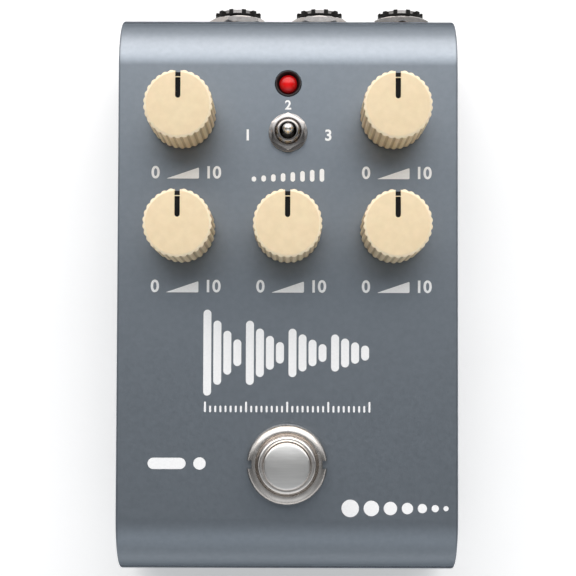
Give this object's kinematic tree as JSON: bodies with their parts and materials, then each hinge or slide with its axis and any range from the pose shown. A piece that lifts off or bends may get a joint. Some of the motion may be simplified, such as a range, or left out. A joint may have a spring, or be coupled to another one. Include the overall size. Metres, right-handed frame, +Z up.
{
  "type": "tape echo pedal",
  "caption": "Compact floor effects pedal: bent metal enclosure with fluted rotary knobs, a toggle, a status lamp, a soft footswitch and rear jack sockets.",
  "frame": {"origin": "on the ground, under the centre of the whole footprint", "axes": "+X to the player's right, +Y to the rear with the sockets, +Z up"},
  "size_m": [0.0666, 0.1142, 0.0447],
  "materials": {
    "shell_paint": "satin slate grey coat",
    "tray_paint": "satin slate grey coat",
    "rubber": "matt",
    "black_steel": "black oxide",
    "steel": "plain",
    "chrome": "polished",
    "dark_nickel": "dark polished nickel",
    "brushed_button": "fine brushed",
    "knob_cream": "satin moulded",
    "pointer_black": "paint fill",
    "black_plastic": "satin moulded",
    "red_lens": "clear tinted, lit",
    "pot_case": "stamped",
    "brass": "plain",
    "circuit_board": "solder mask",
    "chip_black": "moulded",
    "capacitor_can": "drawn can"
  },
  "bodies": {
    "enclosure": {"top_shell": "shell_paint", "base_tray": "tray_paint", "rubber_feet": "rubber", "base_screws": "black_steel", "pot_washers": "steel", "pot_nuts": "steel", "lamp_bezel": "black_plastic", "lamp_lens": "red_lens", "lamp_leads": "steel", "toggle_body": "dark_nickel", "toggle_washer": "dark_nickel", "toggle_nut": "dark_nickel", "switch_body": "chrome", "switch_washer": "chrome", "switch_nut": "chrome", "switch_spring": "steel", "jack_washers": "dark_nickel", "jack_nuts": "dark_nickel", "jack_contacts": "brass", "power_inlet": "black_plastic", "power_pin": "brass", "control_board": "circuit_board", "jack_board": "circuit_board", "standoffs": "brass", "board_screws": "steel", "processor": "chip_black", "small_chips": "chip_black", "capacitors": "capacitor_can", "board_header": "black_plastic", "pot_rear_left": "pot_case", "pot_rear_right": "pot_case", "pot_front_left": "pot_case", "pot_front_middle": "pot_case", "pot_front_right": "pot_case", "jack_left": "black_plastic", "jack_middle": "black_plastic", "jack_right": "black_plastic"},
    "dial_rear_left": {"knob_rear_left": "knob_cream", "pointer_rear_left": "pointer_black", "shaft_rear_left": "steel"},
    "dial_rear_right": {"knob_rear_right": "knob_cream", "pointer_rear_right": "pointer_black", "shaft_rear_right": "steel"},
    "dial_front_left": {"knob_front_left": "knob_cream", "pointer_front_left": "pointer_black", "shaft_front_left": "steel"},
    "dial_front_middle": {"knob_front_middle": "knob_cream", "pointer_front_middle": "pointer_black", "shaft_front_middle": "steel"},
    "dial_front_right": {"knob_front_right": "knob_cream", "pointer_front_right": "pointer_black", "shaft_front_right": "steel"},
    "toggle": {"toggle_lever": "chrome"},
    "footswitch": {"switch_button": "brushed_button"}
  },
  "joints": [
    {"name": "turn_rear_left", "type": "hinge", "parent": "enclosure", "child": "dial_rear_left", "pos_m": [-0.0206, 0.03225, 0.0315], "axis": [0, 0, -1], "range_deg": [-150, 150]},
    {"name": "turn_rear_right", "type": "hinge", "parent": "enclosure", "child": "dial_rear_right", "pos_m": [0.0206, 0.03225, 0.0315], "axis": [0, 0, -1], "range_deg": [-150, 150]},
    {"name": "turn_front_left", "type": "hinge", "parent": "enclosure", "child": "dial_front_left", "pos_m": [-0.0206, 0.00995, 0.0315], "axis": [0, 0, -1], "range_deg": [-150, 150]},
    {"name": "turn_front_middle", "type": "hinge", "parent": "enclosure", "child": "dial_front_middle", "pos_m": [0, 0.00995, 0.0315], "axis": [0, 0, -1], "range_deg": [-150, 150]},
    {"name": "turn_front_right", "type": "hinge", "parent": "enclosure", "child": "dial_front_right", "pos_m": [0.0206, 0.00995, 0.0315], "axis": [0, 0, -1], "range_deg": [-150, 150]},
    {"name": "toggle_tilt", "type": "hinge", "parent": "enclosure", "child": "toggle", "pos_m": [0, 0.02915, 0.0317], "axis": [0, 1, 0], "range_deg": [-12, 12]},
    {"name": "footswitch_press", "type": "slide", "parent": "enclosure", "child": "footswitch", "axis": [0, 0, -1], "range_m": [0, 0.0025], "stiffness_N_per_m": 900, "springref_m": -0.003, "deforming": ["switch_spring"]}
  ]
}
